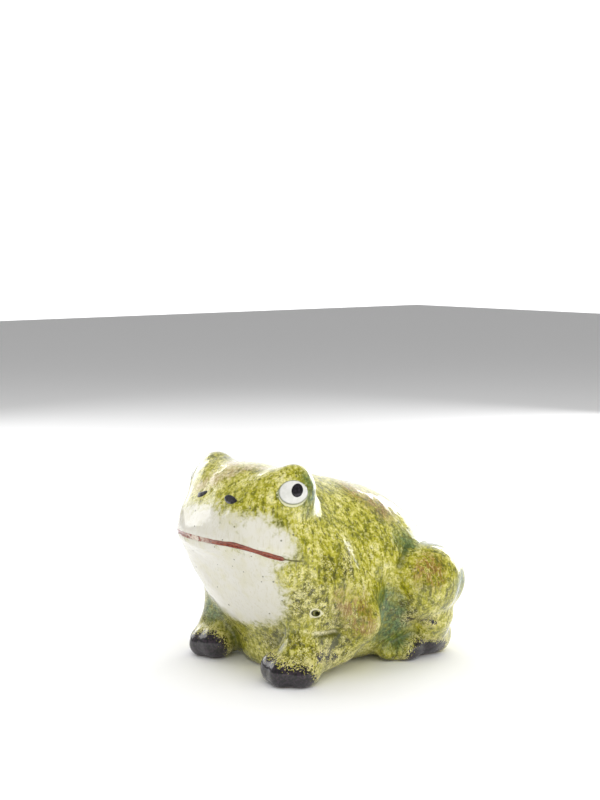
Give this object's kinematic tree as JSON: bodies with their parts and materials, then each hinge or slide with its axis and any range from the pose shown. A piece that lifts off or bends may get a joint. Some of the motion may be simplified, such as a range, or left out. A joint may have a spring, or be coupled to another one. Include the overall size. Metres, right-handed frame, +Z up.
{
  "type": "glazed ceramic frog figurine",
  "caption": "Squat sitting frog in glazed earthenware, hollow cast, with bulging eyes and a flat sole; stands free on a shelf, a table or in a garden.",
  "frame": {"origin": "centre of the frog's bounding box, on the surface that it sits on", "axes": "+Z up, the frog faces -Y, and its left side is +X"},
  "size_m": [0.126, 0.144, 0.108],
  "materials": {
    "speckled_green_glaze": "clear gloss glaze over sponged yellow-green and olive, cream muzzle and throat, black toes",
    "red_glaze": "brushed red-brown under clear gloss",
    "white_glaze": "white gloss",
    "black_glaze": "black gloss"
  },
  "bodies": {
    "root": {"clay_body": "speckled_green_glaze", "mouth_line": "red_glaze", "eye_left": "white_glaze", "eye_right": "white_glaze", "pupil_left": "black_glaze", "pupil_right": "black_glaze", "nostril_left": "black_glaze", "nostril_right": "black_glaze"}
  },
  "joints": []
}
